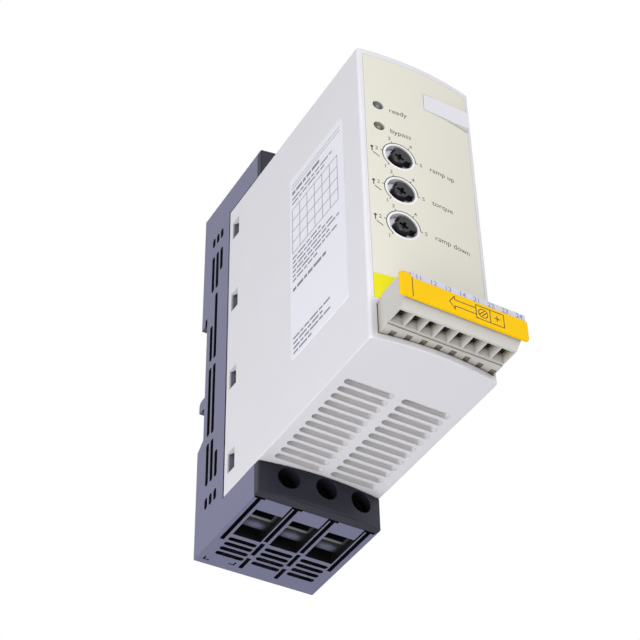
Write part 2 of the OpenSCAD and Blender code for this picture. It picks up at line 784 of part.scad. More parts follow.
module header() color([0.2, 0.45, 0.25]) {
    low = [plug_x - plug_w / 2 + 0.6, plug_low + 0.6];
    high = [plug_x + plug_w / 2 - 0.6, plug_high - 0.6];
    difference() {
        block([low[0], -header_front, low[1]], [high[0], -control_y, high[1]]);
        block([low[0] + shroud_wall, -header_front - eps, low[1] + shroud_wall],
            [high[0] - shroud_wall, -control_y - shroud_wall, high[1] - shroud_wall]);
        for (i = [0:ways - 1])
            translate([way_x(i), 0, (plug_low + plug_high) / 2])
                block([-0.6, -control_y - 2, -0.6], [0.6, -control_y + eps, 0.6]);
    }
}

module header_pins() color([0.8, 0.75, 0.5])
    for (i = [0:ways - 1])
        translate([way_x(i), 0, (plug_low + plug_high) / 2])
            block([-0.5, -header_front + 1, -0.5], [0.5, -control_y, 0.5]);

// Rail latch and its spring

module din_latch() color([0.3, 0.3, 0.36]) {
    lip = rail_seat - rail_t - 0.3;
    difference() {
        union() {
            block([-latch_half, -rail_seat + seam, latch_low], [latch_half, -0.5, rail_low - seam]);
            block([-latch_half, -lip, rail_low - 2], [latch_half, -0.9, rail_low + 1.4]);
            block([-latch_half - latch_wing, -3.6, latch_low], [latch_half + latch_wing, -2.2, channel_foot]);
        }
        along_x(-body_w, body_w)
            polygon([[0, rail_low - 3], [0, rail_low + 2], [-lip + 0.4, rail_low + 2]]);
        block([-3.5, -2.4, latch_low + 6], [3.5, eps, latch_low + 9]);
    }
}

// Rings of a coil spring between two heights, swept as one closed tube
module din_spring() color([0.7, 0.7, 0.72]) {
    sides = 8;
    steps = 16 * spring_turns;
    low = spring_low + spring_wire / 2 + 0.05;
    high = latch_low - spring_wire / 2 - 0.05;
    rings = [for (k = [0:steps]) let(a = 360 * k * spring_turns / steps, z = low + (high - low) * k / steps)
        for (s = [0:sides - 1]) let(b = 360 * s / sides, r = spring_r + spring_wire / 2 * cos(b))
            [r * cos(a), r * sin(a) - rail_seat / 2, z + spring_wire / 2 * sin(b)]];
    walls = [for (k = [0:steps - 1], s = [0:sides - 1]) let(t = (s + 1) % sides)
        [k * sides + s, (k + 1) * sides + s, (k + 1) * sides + t, k * sides + t]];
    first = [for (s = [0:sides - 1]) s];
    last = [for (s = [sides - 1:-1:0]) steps * sides + s];
    polyhedron(rings, concat([first], walls, [last]));
}

// Every piece is drawn from the bottom of the base and shown from the middle of the rail
module placed() translate([0, 0, -rail_height]) children();

placed() base();
placed() terminal_cover();  // terminal_cover_bottom
placed() top_end() terminal_cover();  // terminal_cover_top
placed() housing();
placed() front_label();
placed() rating_label();
placed() yellow_label();
placed() heatsink();
placed() heatsink_screws();
placed() thyristor(0);  // thyristor_1
placed() thyristor(1);  // thyristor_2
placed() power_board();
placed() bypass_relay(0);  // bypass_relay_1
placed() bypass_relay(1);  // bypass_relay_2
placed() link_board();
placed() control_board();
placed() supply_transformer();
placed() filter_capacitors();
placed() header();
placed() header_pins();
placed() dial_body(0);  // dial_body_1
placed() dial_body(1);  // dial_body_2
placed() dial_body(2);  // dial_body_3
placed() lamp(1, [0.35, 0.45, 0.4]);  // power_led
placed() lamp(0, [0.6, 0.55, 0.3]);  // run_led
placed() vent_baffle();  // vent_baffle_bottom
placed() top_end() vent_baffle();  // vent_baffle_top
placed() terminal_bar(0);  // load_bar_1
placed() terminal_bar(1);  // load_bar_2
placed() terminal_bar(2);  // load_bar_3
placed() top_end() terminal_bar(0);  // line_bar_1
placed() top_end() terminal_bar(1);  // line_bar_2
placed() top_end() terminal_bar(2);  // line_bar_3
placed() din_spring();
placed() din_latch();
placed() dial(0);  // dial_1
placed() dial(1);  // dial_2
placed() dial(2);  // dial_3
placed() control_plug();
placed() plug_screws();
placed() plug_clamps();
placed() marker_strip();
placed() legend_insert();
placed() terminal_screw(0);  // load_screw_1
placed() terminal_screw(1);  // load_screw_2
placed() terminal_screw(2);  // load_screw_3
placed() top_end() terminal_screw(0);  // line_screw_1
placed() top_end() terminal_screw(1);  // line_screw_2
placed() top_end() terminal_screw(2);  // line_screw_3
placed() terminal_clamp(0);  // load_clamp_1
placed() terminal_clamp(1);  // load_clamp_2
placed() terminal_clamp(2);  // load_clamp_3
placed() top_end() terminal_clamp(0);  // line_clamp_1
placed() top_end() terminal_clamp(1);  // line_clamp_2
placed() top_end() terminal_clamp(2);  // line_clamp_3
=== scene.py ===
# %% [markdown]
# # Dressing a soft starter for the camera
# A soft starter ramps a motor up to speed. It clips to a rail in a control cabinet: a dark base
# carries the power terminals, and a pale housing carries the dials, the lamps and a control plug.
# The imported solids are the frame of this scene. Everything here is either a finish on one of those
# solids, a copy of one with its moulded edges rounded, or print that lies on one.

# %% Load the frame
import json
import math

import bpy
from mathutils import Matrix, Vector


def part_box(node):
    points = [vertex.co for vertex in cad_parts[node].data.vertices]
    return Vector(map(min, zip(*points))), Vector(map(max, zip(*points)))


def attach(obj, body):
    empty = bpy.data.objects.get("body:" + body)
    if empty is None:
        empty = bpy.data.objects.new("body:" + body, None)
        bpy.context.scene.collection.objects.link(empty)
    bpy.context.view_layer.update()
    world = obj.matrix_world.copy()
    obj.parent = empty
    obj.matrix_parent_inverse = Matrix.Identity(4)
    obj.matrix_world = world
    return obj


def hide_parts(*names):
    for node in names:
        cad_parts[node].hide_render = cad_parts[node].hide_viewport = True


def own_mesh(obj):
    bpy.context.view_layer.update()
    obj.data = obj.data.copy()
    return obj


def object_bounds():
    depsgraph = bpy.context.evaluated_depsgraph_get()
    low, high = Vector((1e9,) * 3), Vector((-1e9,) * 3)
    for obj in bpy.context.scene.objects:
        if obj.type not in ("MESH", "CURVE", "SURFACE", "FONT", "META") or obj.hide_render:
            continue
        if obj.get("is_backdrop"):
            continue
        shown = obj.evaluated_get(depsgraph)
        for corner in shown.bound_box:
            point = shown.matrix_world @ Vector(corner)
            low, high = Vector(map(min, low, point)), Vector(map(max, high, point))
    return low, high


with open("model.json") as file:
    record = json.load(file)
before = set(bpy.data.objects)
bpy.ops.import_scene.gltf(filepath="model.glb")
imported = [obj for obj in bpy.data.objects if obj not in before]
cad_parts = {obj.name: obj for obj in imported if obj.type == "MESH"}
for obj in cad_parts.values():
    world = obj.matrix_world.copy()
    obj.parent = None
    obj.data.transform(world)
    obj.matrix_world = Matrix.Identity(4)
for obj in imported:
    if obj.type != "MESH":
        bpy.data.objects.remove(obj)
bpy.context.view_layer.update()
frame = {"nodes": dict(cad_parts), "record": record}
MM = 0.001
RAIL_HEIGHT = 83.5  # from the bottom of the base to the frame's origin, in mm
BODY_OF = {node: body for body, nodes in frame["record"]["behaviour"]["bodies"].items() for node in nodes}

# %% [markdown]
# ## Camera
# The photograph looks up at the device from below, in front and to the left, so its underside shows.
# Those angles were found by matching known corners of the case, and a long lens keeps the sides
# nearly parallel. The camera is built from its own three axes, so its slight roll is exact.

# %% Camera
AZIMUTH, ELEVATION, ROLL = (math.radians(angle) for angle in (-30.92, -41.02, -1.23))
TARGET = Vector((-8.1, -60.0, -18.8)) * MM
DISTANCE = 0.5765
LENS, SENSOR, NEAREST = 97.48, 36, 0.01
back = Vector((math.sin(AZIMUTH) * math.cos(ELEVATION), -math.cos(AZIMUTH) * math.cos(ELEVATION),
               math.sin(ELEVATION)))
level = (-back).cross(Vector((0, 0, 1))).normalized()
upright = level.cross(-back)
right = level * math.cos(ROLL) + upright * math.sin(ROLL)
up = upright * math.cos(ROLL) - level * math.sin(ROLL)

bpy.ops.object.select_all(action="DESELECT")
bpy.ops.object.camera_add()
camera = bpy.context.active_object
camera.data.lens, camera.data.sensor_width, camera.data.clip_start = LENS, SENSOR, NEAREST
turned = Matrix((right, up, back)).transposed().to_4x4()
camera.matrix_world = Matrix.Translation(TARGET + back * DISTANCE) @ turned
bpy.context.scene.camera = camera
print("camera at", [round(v, 3) for v in camera.matrix_world.translation])

# %% [markdown]
# ## Nodes and colours
# Colours are written as the hex codes that a paint program shows, and one function turns them into
# the linear light that a renderer adds up. Another small function adds a shader node, sets it up and
# links it, so that each finish below reads as a short recipe.

# %% Colour and node helpers
def linear(code):
    """The linear colour of an sRGB hex code."""
    parts = [int(code[i:i + 2], 16) / 255 for i in (1, 3, 5)]
    return (*(v / 12.92 if v <= 0.04045 else ((v + 0.055) / 1.055) ** 2.4 for v in parts), 1.0)


def shaded(colour, share):
    """A linear colour times a share, kept within white."""
    return (*(min(1.0, c * share) for c in colour[:3]), 1.0)


def add(tree, kind, inputs=None, **settings):
    """One shader node with its settings, and a value or a link for each named input."""
    node = tree.nodes.new("ShaderNode" + kind)
    for name, value in settings.items():
        setattr(node, name, value)
    for name, value in (inputs or {}).items():
        if isinstance(value, bpy.types.NodeSocket):
            tree.links.new(value, node.inputs[name])
        else:
            node.inputs[name].default_value = value
    return node


def new_material(name):
    """An empty material, its tree and its main shader."""
    material = bpy.data.materials.new(name)
    material.use_nodes = True
    tree = material.node_tree
    return material, tree, tree.nodes["Principled BSDF"]


print("a middle grey, 808080, is", round(linear("#808080")[0], 3), "in linear light")

# %% [markdown]
# ## Studio
# The object hangs where its rail would hold it, high over a pale floor. Nearly all its outer faces
# are equally bright in the photograph, so a soft lamp lights each face that it shows: one in front,
# one at the left and a wide one from below. The wide one leaves no hard shadow of the plug on the
# front. The floor and the background are pale to the camera and in reflections, and add little light.

# %% Floor, world and lamps
def seen_rays(tree):
    """One for rays to the camera, in gloss or through glass, and nought for rays that only light."""
    ways = add(tree, "LightPath").outputs
    seen = add(tree, "Math", {0: ways["Is Camera Ray"], 1: ways["Is Glossy Ray"]}, operation="MAXIMUM")
    seen = add(tree, "Math", {0: seen.outputs[0], 1: ways["Is Transmission Ray"]}, operation="MAXIMUM")
    return seen.outputs[0]


FLOOR_SIZE, FLOOR_LEVEL, AMBIENT = 8, -3, 0.15
bpy.ops.object.select_all(action="DESELECT")
bpy.ops.mesh.primitive_grid_add(x_subdivisions=2, y_subdivisions=2, size=FLOOR_SIZE,
                                location=(0, 0, FLOOR_LEVEL))
floor = bpy.context.active_object
floor.name = "floor"
floor_paint, tree, shader = new_material("matt white studio paper")
shader.inputs["Base Color"].default_value = linear("#F1F1F1")
shader.inputs["Roughness"].default_value = 0.9
shader.inputs["Emission Color"].default_value = linear("#E2E2E4")
tree.links.new(seen_rays(tree), shader.inputs["Emission Strength"])
floor.data.materials.append(floor_paint)
floor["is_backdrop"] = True

world = bpy.data.worlds.new("studio")
bpy.context.scene.world = world
world.use_nodes = True
tree = world.node_tree
plain = add(tree, "Background", {"Color": linear("#FFFFFF"), "Strength": 1.0})
ambient = add(tree, "Background", {"Color": linear("#F4F5FF"), "Strength": AMBIENT})
both = add(tree, "MixShader", {0: seen_rays(tree), 1: ambient.outputs[0], 2: plain.outputs[0]})
tree.links.new(both.outputs[0], tree.nodes["World Output"].inputs["Surface"])


def lamp(name, place, size, power):
    """A square soft lamp that faces the middle of the object; its place and size are in metres."""
    bpy.ops.object.select_all(action="DESELECT")
    bpy.ops.object.light_add(type="AREA", location=place)
    light = bpy.context.active_object
    light.name = name
    light.data.size, light.data.energy = size, power
    light.rotation_euler = (TARGET - Vector(place)).to_track_quat("-Z", "Y").to_euler()


lamp("front_lamp", (0.15, -1.17, 0.2), 0.9, 8.9)
lamp("left_lamp", (-1.2, 0.05, 0.3), 0.6, 3.5)
lamp("low_lamp", (-0.66, -0.36, -0.9), 1.0, 13.9)
bpy.context.scene.view_settings.view_transform = "Standard"
print("studio: floor, world and three lamps")

# %% [markdown]
# ## Moulded plastics
# The mouldings are thermoplastics with a spark-eroded texture: a very fine grain that blurs
# reflections, with faint clouding where the melt cooled unevenly. One recipe makes them all, with
# the colour, the gloss and the size of the grain of each part. The eye gets a soft sheen that is not
# quite even. The real grain is about 0.1 mm; here it is drawn at half a millimetre, or the render
# would not show it. Slots and hollows get painted shade: an Ambient Occlusion node mixes in a dark
# colour where other surfaces close in on a point.

# %% Moulded plastic finishes
CLOUD_SIZE = 22  # in mm
GLOSS_SPREAD = 0.06  # the roughness varies by this much to each side
# Painted shade fades out where a point sees at least this share of the open air.
UNSHADED_FROM = 0.96  # points that see at least this share of the open air have their full colour
PLASTIC_IOR = 1.5


def moulded(name, code, roughness, grain=0.5, relief=0.012, clouding=0.025, shine=0.3,
            shade_reach=None, dark="#08080A", closed=0.6):
    """A matt moulded plastic; grain, relief and the reach of painted shade are in mm, dark is its colour,
    the rest are shares.
    """
    material, tree, shader = new_material(name)
    place = add(tree, "TexCoord").outputs["Object"]
    clouds = add(tree, "TexNoise", {"Vector": place, "Scale": 1 / (CLOUD_SIZE * MM), "Detail": 3.0})
    colour = linear(code)
    tint = add(tree, "MixRGB", {"Fac": clouds.outputs["Fac"], "Color1": shaded(colour, 1 - clouding),
                                "Color2": shaded(colour, 1 + clouding)})
    speck = add(tree, "TexNoise", {"Vector": place, "Scale": 1 / (grain * MM), "Detail": 2.0})
    gloss = add(tree, "MapRange", {"Value": speck.outputs["Fac"], "To Min": roughness - GLOSS_SPREAD,
                                   "To Max": roughness + GLOSS_SPREAD})
    bump = add(tree, "Bump", {"Height": speck.outputs["Fac"], "Strength": 0.5, "Distance": relief * MM})
    # Painted shade: where other surfaces close in, the colour is mixed towards the dark colour, fully
    # where only the closed share of open air is seen.
    if shade_reach:
        openness = add(tree, "AmbientOcclusion", {"Distance": shade_reach * MM}, samples=8)
        shade_share = add(tree, "MapRange", {"Value": openness.outputs["AO"], "From Min": closed,
                                        "From Max": UNSHADED_FROM})
        tint = add(tree, "MixRGB", {"Fac": shade_share.outputs[0], "Color1": linear(dark),
                                    "Color2": tint.outputs[0]})
    tree.links.new(tint.outputs[0], shader.inputs["Base Color"])
    tree.links.new(gloss.outputs[0], shader.inputs["Roughness"])
    tree.links.new(bump.outputs[0], shader.inputs["Normal"])
    shader.inputs["IOR"].default_value = PLASTIC_IOR
    shader.inputs["Specular IOR Level"].default_value = shine
    return material


# Each finish given a shade reach carries painted shade in its slots and hollows, in the dark colour given
# with it.
housing_abs = moulded("light grey ABS, spark eroded", "#E4E3E8", 0.42, shade_reach=8, dark="#D4D3D7")
glass_filled = {"relief": 0.018, "clouding": 0.05}
base_polyamide = moulded("lavender grey glass-filled polyamide", "#747590", 0.5, shade_reach=9, closed=0.76,
                         **glass_filled)
# The covers are coloured far darker than the base's polyamide as painted shade, for the shade under the
# housing's overhang.
cover_in_painted_shade = moulded("glass-filled polyamide in painted shade", "#1C1C2A", 0.5, shade_reach=4, **glass_filled)
plug_polyamide = moulded("warm grey polyamide", "#CCCAC5", 0.45, shade_reach=4, dark="#7C7469", closed=0.42)
strip_polypropylene = moulded("amber yellow polypropylene", "#FFCB00", 0.38, clouding=0.015, shine=0.1)
legend_pvc = moulded("pale lavender PVC", "#D4D5E2", 0.4)
dial_nylon = moulded("charcoal nylon, polished", "#242227", 0.34, clouding=0.02, shade_reach=2.5)
stator_nylon = moulded("white nylon", "#EDECF3", 0.45)
baffle_abs = moulded("ivory ABS", "#FBF7EC", 0.5)
board_header = moulded("black polyester, glass filled", "#202124", 0.45)
relay_case = moulded("blue black polyester", "#20263A", 0.35)
power_epoxy = moulded("black moulding epoxy", "#1B1B1D", 0.55)
winding_varnish = moulded("varnished coil", "#4A3420", 0.3, grain=0.6, relief=0.05)
print("moulded finishes ready")

# %% [markdown]
# ## Films, lenses and metals
# Labels are polyester film, printed on the back and lightly embossed, which gives a faint orange
# peel in the sheen. The lamps are unlit tinted epoxy. The terminal clamps and their screws are
# steel, coloured dark as painted shade so they read dark deep in their chambers and holes, and the
# heatsink is a black anodised extrusion: a noise that is stretched along one axis draws the fine
# lines of rolling and drawing, which smear the light across them.

# %% Films, lenses and metals
FILM_IOR, EPOXY_IOR = 1.57, 1.55
FINE_RELIEF = 0.01 * MM


def film(name, code, roughness, shine=0.3, peel_size=0.9):
    """A smooth label film with a faint orange-peel surface, whose size is in mm."""
    material, tree, shader = new_material(name)
    place = add(tree, "TexCoord").outputs["Object"]
    peel = add(tree, "TexNoise", {"Vector": place, "Scale": 1 / (peel_size * MM), "Detail": 1.0})
    colour = linear(code)
    tint = add(tree, "MixRGB", {"Fac": peel.outputs["Fac"], "Color1": shaded(colour, 0.985),
                                "Color2": colour})
    bump = add(tree, "Bump", {"Height": peel.outputs["Fac"], "Strength": 0.3, "Distance": FINE_RELIEF})
    tree.links.new(tint.outputs[0], shader.inputs["Base Color"])
    tree.links.new(bump.outputs[0], shader.inputs["Normal"])
    shader.inputs["Roughness"].default_value = roughness
    shader.inputs["IOR"].default_value = FILM_IOR
    shader.inputs["Specular IOR Level"].default_value = shine
    return material


def lens(name, code, cloud_size=1.6):
    """Tinted epoxy over a dark chip: dark clouds of a size in mm under a thin clear coat."""
    material, tree, shader = new_material(name)
    place = add(tree, "TexCoord").outputs["Object"]
    depth = add(tree, "TexNoise", {"Vector": place, "Scale": 1 / (cloud_size * MM), "Detail": 1.0})
    colour = linear(code)
    tint = add(tree, "MixRGB", {"Fac": depth.outputs["Fac"], "Color1": shaded(colour, 0.6),
                                "Color2": colour})
    tree.links.new(tint.outputs[0], shader.inputs["Base Color"])
    shader.inputs["Roughness"].default_value = 0.3
    shader.inputs["Coat Weight"].default_value = 0.2
    shader.inputs["IOR"].default_value = EPOXY_IOR
    return material


def drawn_metal(name, code, roughness, stretch, spread=0.08):
    """A metal with fine lines; stretch gives the size of their noise along X, Y and Z in mm."""
    material, tree, shader = new_material(name)
    place = add(tree, "TexCoord").outputs["Object"]
    scaled = add(tree, "Mapping", {"Vector": place, "Scale": tuple(1 / (s * MM) for s in stretch)})
    lines = add(tree, "TexNoise", {"Vector": scaled.outputs[0], "Scale": 1.0, "Detail": 3.0})
    colour = linear(code)
    tint = add(tree, "MixRGB", {"Fac": lines.outputs["Fac"], "Color1": shaded(colour, 0.85),
                                "Color2": colour})
    gloss = add(tree, "MapRange", {"Value": lines.outputs["Fac"], "To Min": roughness - spread,
                                   "To Max": roughness + spread})
    bump = add(tree, "Bump", {"Height": lines.outputs["Fac"], "Strength": 0.3, "Distance": FINE_RELIEF})
    tree.links.new(tint.outputs[0], shader.inputs["Base Color"])
    tree.links.new(gloss.outputs[0], shader.inputs["Roughness"])
    tree.links.new(bump.outputs[0], shader.inputs["Normal"])
    shader.inputs["Metallic"].default_value = 1.0
    return material


face_film = film("beige polyester film", "#E4E1D3", 0.4)
rating_film = film("white polyester film", "#EFEFF8", 0.35)
corner_film = film("lemon polyester film", "#EBE214", 0.4, shine=0.1)
green_lens = lens("green grey epoxy lens", "#3E4B46")
amber_lens = lens("olive epoxy lens", "#5B5033")
ALONG_SCREW = (0.4, 3.0, 0.4)
zinc_steel = drawn_metal("zinc-plated steel", "#B9BABD", 0.35, ALONG_SCREW)
spring_steel = drawn_metal("spring steel wire", "#A9AAAE", 0.3, (0.3, 0.3, 0.3))
# Painted shade: the clamps are coloured dark so they read dark inside their chambers.
clamp_steel_in_shade = drawn_metal("clamp steel in painted shade", "#6E6E70", 0.32, ALONG_SCREW)
# Painted shade: the screws are coloured near black so the deep driver holes read black.
screw_steel_in_shade = drawn_metal("screw steel in painted shade", "#151517", 0.5, ALONG_SCREW)
anodised_aluminium = drawn_metal("black anodised aluminium", "#26272B", 0.45, (0.5, 0.5, 20.0))
tinned_copper = drawn_metal("tinned copper", "#B7B3AA", 0.35, (0.5, 0.5, 6.0))
print("films, lenses and metals ready")

# %% [markdown]
# ## Circuit boards
# A board is glass cloth in epoxy under a green lacquer, and the tracks stand up faintly under the
# lacquer. They are inside the case, so a pattern of straight cells at the track pitch is enough.

# %% Circuit board finish
TRACK_LONG, TRACK_PITCH, TRACK_GAP = 7 * MM, 2 * MM, 0.3 * MM
board_laminate, tree, shader = new_material("green lacquered glass epoxy")
place = add(tree, "TexCoord").outputs["Object"]
tracks = add(tree, "TexBrick", {
    "Vector": place, "Scale": 1.0,
    "Brick Width": TRACK_LONG, "Row Height": TRACK_PITCH, "Mortar Size": TRACK_GAP,
    "Color1": linear("#1E5A38"), "Color2": linear("#1A4F31"), "Mortar": linear("#2C7448")})
tree.links.new(tracks.outputs["Color"], shader.inputs["Base Color"])
shader.inputs["Roughness"].default_value = 0.3
shader.inputs["IOR"].default_value = EPOXY_IOR
print("board finish with tracks every", round(TRACK_PITCH / MM, 1), "mm")

# %% [markdown]
# ## Rounded mouldings
# No moulding has a knife edge: the tool's corners leave a radius of a few tenths of a millimetre,
# and that radius is what catches the light. So each visible moulding is copied, its triangles are
# merged into clean faces, and a bevel rounds its edges. The copy's own normals are cleared first, or
# they would shade the new faces wrongly. The shells, the covers and the plug are pierced by rows of
# slots and holes: a cut along each rim first keeps those apart from the outline, and only the
# outline is rounded, together with the bowed edges of the housing's and the covers' fronts.

# %% Copy a solid and find its outline
WELD, ON_PLANE = 1e-6, 1e-5  # closer than this, points are one, or lie on a plane; in metres
FLAT, SHARP, SMOOTH = (math.radians(angle) for angle in (0.4, 35, 32))


def merged_copy(node):
    """A copy of a solid, open in edit mode, with its triangles merged into flat faces."""
    bpy.ops.object.select_all(action="DESELECT")
    piece = bpy.data.objects.new(node + "_moulding", frame["nodes"][node].data.copy())
    bpy.context.scene.collection.objects.link(piece)
    piece.select_set(True)
    bpy.context.view_layer.objects.active = piece
    bpy.ops.mesh.customdata_custom_splitnormals_clear()
    bpy.ops.object.mode_set(mode="EDIT")
    bpy.ops.mesh.select_mode(type="EDGE")
    bpy.ops.mesh.select_all(action="SELECT")
    bpy.ops.mesh.remove_doubles(threshold=WELD)
    bpy.ops.mesh.dissolve_limited(angle_limit=FLAT)
    return piece


def cut_rims(node, ledges, rim=0.9 * MM):
    """Cuts a copy in edit mode just inside each face of its box, and gives the planes of its outline."""
    low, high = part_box(node)
    planes = [(axis, corner[axis], side) for axis in range(3) for corner, side in ((low, 1), (high, -1))]
    planes += [(1, ledge * MM, 1) for ledge in ledges]
    for axis, place, side in planes:
        point, normal = [0, 0, 0], [0, 0, 0]
        point[axis], normal[axis] = place + side * rim, 1
        bpy.ops.mesh.select_all(action="SELECT")
        bpy.ops.mesh.bisect(plane_co=point, plane_no=normal)
    bpy.ops.mesh.select_all(action="SELECT")
    bpy.ops.mesh.vert_connect_concave()
    return planes


def keep_outline(piece, planes, bow):
    """Leaves only sharp edges on two planes of the outline, or on an end and in front of bow, in mm."""
    bpy.ops.object.mode_set(mode="OBJECT")
    mesh = piece.data
    mesh.vertices.foreach_set("select", [False] * len(mesh.vertices))
    mesh.polygons.foreach_set("select", [False] * len(mesh.polygons))
    for edge in mesh.edges:
        ends = [mesh.vertices[v].co for v in edge.vertices]
        on = {axis for axis, place, _ in planes if all(abs(end[axis] - place) < ON_PLANE for end in ends)}
        bowed = bow is not None and 2 in on and all(end.y < bow * MM for end in ends)
        edge.select = edge.select and (bowed or len(on) >= 2)
    bpy.ops.object.mode_set(mode="EDIT")


print("edges over", round(math.degrees(SHARP)), "degrees count as sharp")

# %% [markdown]
# ## Mouths of the wire entries
# Each wire entry of the plug widens towards its mouth, so that a stranded wire finds its way in. A
# blunt pyramid of four sides has just that shape. One is made, an Array modifier repeats it at the
# pitch of the ways, and a Boolean modifier cuts the row from the plug's copy.

# %% Flare the wire entries
MOUTH = {"wide": 4.6, "long": 5.9, "narrow": 3.0, "deep": 1.9, "rise": 0.2, "back": 6.6}


def flare_mouths(piece, node, ways=8):
    """Cuts the flared mouths into a copy that is in edit mode, and leaves it in edit mode."""
    low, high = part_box(node)
    pitch = (high.x - low.x) / ways
    first = low + Vector((pitch / 2, MOUTH["back"] * MM, (MOUTH["rise"] + MOUTH["deep"] / 2) * MM))
    bpy.ops.object.mode_set(mode="OBJECT")
    bpy.ops.object.select_all(action="DESELECT")
    bpy.ops.mesh.primitive_cone_add(
        vertices=4, radius1=MOUTH["wide"] / math.sqrt(2) * MM, radius2=MOUTH["narrow"] / math.sqrt(2) * MM,
        depth=MOUTH["deep"] * MM, rotation=(0, 0, math.pi / 4), location=first)
    cutter = bpy.context.active_object
    bpy.ops.object.transform_apply(location=False, rotation=True, scale=True)
    cutter.scale = (1, MOUTH["long"] / MOUTH["wide"], 1)
    bpy.ops.object.transform_apply(location=True, rotation=True, scale=True)
    row = cutter.modifiers.new("row", "ARRAY")
    row.use_relative_offset, row.use_constant_offset = False, True
    row.count, row.constant_offset_displace = ways, (pitch, 0, 0)
    bpy.ops.object.modifier_apply(modifier=row.name)
    bpy.ops.object.select_all(action="DESELECT")
    piece.select_set(True)
    bpy.context.view_layer.objects.active = piece
    cut = piece.modifiers.new("mouths", "BOOLEAN")
    cut.operation, cut.solver, cut.object = "DIFFERENCE", "EXACT", cutter
    bpy.ops.object.modifier_apply(modifier=cut.name)
    bpy.data.objects.remove(cutter)
    bpy.ops.object.mode_set(mode="EDIT")
    bpy.ops.mesh.select_all(action="SELECT")
    bpy.ops.mesh.dissolve_limited(angle_limit=FLAT)


print("mouths of", MOUTH["wide"], "by", MOUTH["long"], "mm")

# %% [markdown]
# ## Round the moulded edges
# Each moulding gets its finish and a radius. Where a list of ledges follows, only the outline is
# rounded, and a ledge is one more plane of it. A last number gives the place in front of which the
# edges are bowed. A Weighted Normal modifier keeps the flat faces flat beside their rounded edges.

# %% Rounded copies
def rounded(node, material, width, ledges=None, bow=None):
    """Rounds a copy of a solid by width, in mm, and lets it stand for the solid."""
    piece = merged_copy(node)
    if node == "control_plug":
        flare_mouths(piece, node)
    planes = None if ledges is None else cut_rims(node, ledges)
    bpy.ops.mesh.select_all(action="DESELECT")
    bpy.ops.mesh.edges_select_sharp(sharpness=SHARP)
    if planes:
        keep_outline(piece, planes, bow)
    bpy.ops.mesh.bevel(offset=width * MM, segments=2, affect="EDGES", clamp_overlap=False)
    bpy.ops.object.mode_set(mode="OBJECT")
    bpy.ops.object.shade_smooth_by_angle(angle=SMOOTH)
    weighted = piece.modifiers.new("flat faces stay flat", "WEIGHTED_NORMAL")
    weighted.keep_sharp = True
    bpy.ops.object.modifier_apply(modifier=weighted.name)
    piece.data.materials.clear()
    piece.data.materials.append(material)
    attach(piece, BODY_OF[node])
    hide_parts(node)
    return piece


HOUSING_BOW, COVER_BOW, BASE_LEDGE = -111.1, -43.3, -20.1  # places along Y, in mm
MOULDINGS = {
    "housing": (housing_abs, 0.35, (), HOUSING_BOW),
    "base": (base_polyamide, 0.25, (BASE_LEDGE,)),
    "terminal_cover_bottom": (cover_in_painted_shade, 0.3, (), COVER_BOW),
    "terminal_cover_top": (cover_in_painted_shade, 0.3, (), COVER_BOW),
    "control_plug": (plug_polyamide, 0.18, ()),
    "marker_strip": (strip_polypropylene, 0.3),
    "legend_insert": (legend_pvc, 0.15),
    "din_latch": (base_polyamide, 0.25),
    "dial_1": (dial_nylon, 0.15), "dial_2": (dial_nylon, 0.15), "dial_3": (dial_nylon, 0.15)}
for node, settings in MOULDINGS.items():
    piece = rounded(node, *settings)
    print(node, "rounded,", len(piece.data.polygons), "faces")

# %% [markdown]
# ## Finishes on the solids that stay
# The metal parts, the films and the electronics keep their exact solids. Each only gets its finish.

# %% Dress the remaining solids
def finish(material, *nodes):
    """Puts one material on solids that are shown as they are."""
    for node in nodes:
        mesh = frame["nodes"][node].data
        mesh.materials.clear()
        mesh.materials.append(material)


ENDS = ("load", "line")
PHASES = (1, 2, 3)
finish(face_film, "front_label")
finish(rating_film, "rating_label")
finish(corner_film, "yellow_label")
finish(green_lens, "power_led")
finish(amber_lens, "run_led")
finish(stator_nylon, "dial_body_1", "dial_body_2", "dial_body_3")
finish(baffle_abs, "vent_baffle_bottom", "vent_baffle_top")
finish(anodised_aluminium, "heatsink")
finish(zinc_steel, "heatsink_screws", "plug_screws")
finish(clamp_steel_in_shade, *(f"{end}_clamp_{i}" for end in ENDS for i in PHASES))
finish(screw_steel_in_shade, *(f"{end}_screw_{i}" for end in ENDS for i in PHASES))
finish(tinned_copper, "header_pins", "plug_clamps", *(f"{end}_bar_{i}" for end in ENDS for i in PHASES))
finish(board_laminate, "power_board", "link_board", "control_board")
finish(relay_case, "bypass_relay_1", "bypass_relay_2", "filter_capacitors")
finish(power_epoxy, "thyristor_1", "thyristor_2")
finish(winding_varnish, "supply_transformer")
finish(board_header, "header")
print("remaining solids dressed")

# %% [markdown]
# ## Latch spring
# A coil spring pushes the rail latch up. The frame's spring is made of short straight facets, so a
# round one stands for it: a small circle of wire is wound up by a Screw modifier and its two ends
# are filled.

# %% Wind the spring
WIRE, COILS = 0.5 * MM, 6
WIRE_SIDES, TURN_STEPS, WIRE_SMOOTH = 10, 24, math.radians(60)
low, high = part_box("din_spring")
middle = (low + high) / 2
coil_radius = (high.x - low.x - WIRE) / 2
bpy.ops.object.select_all(action="DESELECT")
bpy.ops.mesh.primitive_circle_add(vertices=WIRE_SIDES, radius=WIRE / 2, location=(coil_radius, 0, 0),
                                  rotation=(math.pi / 2, 0, 0))
spring = bpy.context.active_object
spring.name = "latch_coil"
bpy.ops.object.transform_apply(location=True, rotation=True, scale=True)
screw = spring.modifiers.new("winding", "SCREW")
screw.axis = "Z"
screw.steps = screw.render_steps = TURN_STEPS
screw.iterations = COILS
screw.screw_offset = (high.z - low.z - WIRE) / COILS
bpy.ops.object.modifier_apply(modifier=screw.name)
bpy.ops.object.mode_set(mode="EDIT")
bpy.ops.mesh.select_mode(type="EDGE")
